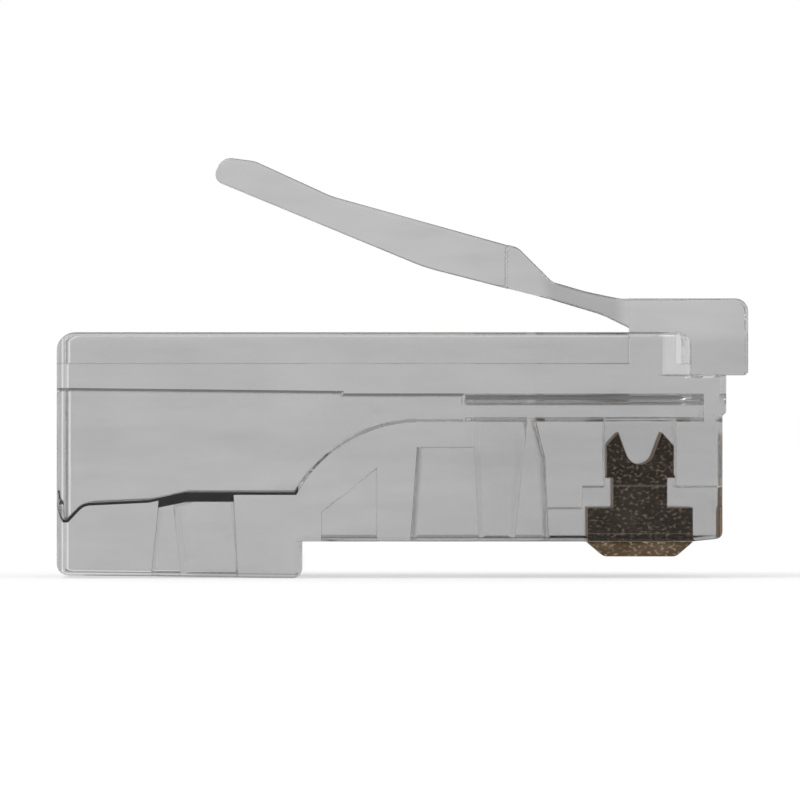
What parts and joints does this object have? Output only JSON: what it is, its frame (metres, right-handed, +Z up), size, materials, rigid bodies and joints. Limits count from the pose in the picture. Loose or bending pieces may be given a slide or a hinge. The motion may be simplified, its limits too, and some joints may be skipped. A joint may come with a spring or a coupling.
{
  "type": "modular plug",
  "caption": "Clear modular cable plug, not yet crimped, with a spring latch, folding clamps for the cable and its wires, and a row of plated contact blades.",
  "frame": {"origin": "middle of the base: half way along the plug and across it, at the level of the foot's lowest edge", "axes": "+X along the plug towards the contact end, +Y across it, +Z up to the latch"},
  "size_m": [0.022, 0.0116, 0.0135],
  "materials": {
    "clear_plastic": "clear polycarbonate, polished, faintly smoky",
    "plated_contact": "stamped copper alloy with a thin gold plating"
  },
  "bodies": {
    "moulding": {"housing": "clear_plastic", "latch_web": "clear_plastic"},
    "latch_lever": {"latch": "clear_plastic"},
    "jacket_bar": {"jacket_clamp": "clear_plastic"},
    "wire_bar": {"wire_clamp": "clear_plastic"},
    "blade_1": {"contact_1": "plated_contact"},
    "blade_2": {"contact_2": "plated_contact"},
    "blade_3": {"contact_3": "plated_contact"},
    "blade_4": {"contact_4": "plated_contact"},
    "blade_5": {"contact_5": "plated_contact"},
    "blade_6": {"contact_6": "plated_contact"},
    "blade_7": {"contact_7": "plated_contact"},
    "blade_8": {"contact_8": "plated_contact"}
  },
  "joints": [
    {"name": "latch_press", "type": "hinge", "parent": "moulding", "child": "latch_lever", "pos_m": [0.00582, 0, 0.00882], "axis": [0, -1, 0], "range_deg": [0, 20], "stiffness_Nm_per_rad": 0.08, "deforming": ["latch_web"]},
    {"name": "jacket_clamp_fold", "type": "hinge", "parent": "moulding", "child": "jacket_bar", "pos_m": [-0.00551, 0, 0.00247], "axis": [0, 1, 0], "range_deg": [0, 20]},
    {"name": "wire_clamp_fold", "type": "hinge", "parent": "moulding", "child": "wire_bar", "pos_m": [0.00225, 0, 0.00498], "axis": [0, -1, 0], "range_deg": [0, 13]},
    {"name": "contact_1_crimp", "type": "slide", "parent": "moulding", "child": "blade_1", "axis": [0, 0, 1], "range_m": [0, 0.00066]},
    {"name": "contact_2_crimp", "type": "slide", "parent": "moulding", "child": "blade_2", "axis": [0, 0, 1], "range_m": [0, 0.00066]},
    {"name": "contact_3_crimp", "type": "slide", "parent": "moulding", "child": "blade_3", "axis": [0, 0, 1], "range_m": [0, 0.00066]},
    {"name": "contact_4_crimp", "type": "slide", "parent": "moulding", "child": "blade_4", "axis": [0, 0, 1], "range_m": [0, 0.00066]},
    {"name": "contact_5_crimp", "type": "slide", "parent": "moulding", "child": "blade_5", "axis": [0, 0, 1], "range_m": [0, 0.00066]},
    {"name": "contact_6_crimp", "type": "slide", "parent": "moulding", "child": "blade_6", "axis": [0, 0, 1], "range_m": [0, 0.00066]},
    {"name": "contact_7_crimp", "type": "slide", "parent": "moulding", "child": "blade_7", "axis": [0, 0, 1], "range_m": [0, 0.00066]},
    {"name": "contact_8_crimp", "type": "slide", "parent": "moulding", "child": "blade_8", "axis": [0, 0, 1], "range_m": [0, 0.00066]}
  ]
}
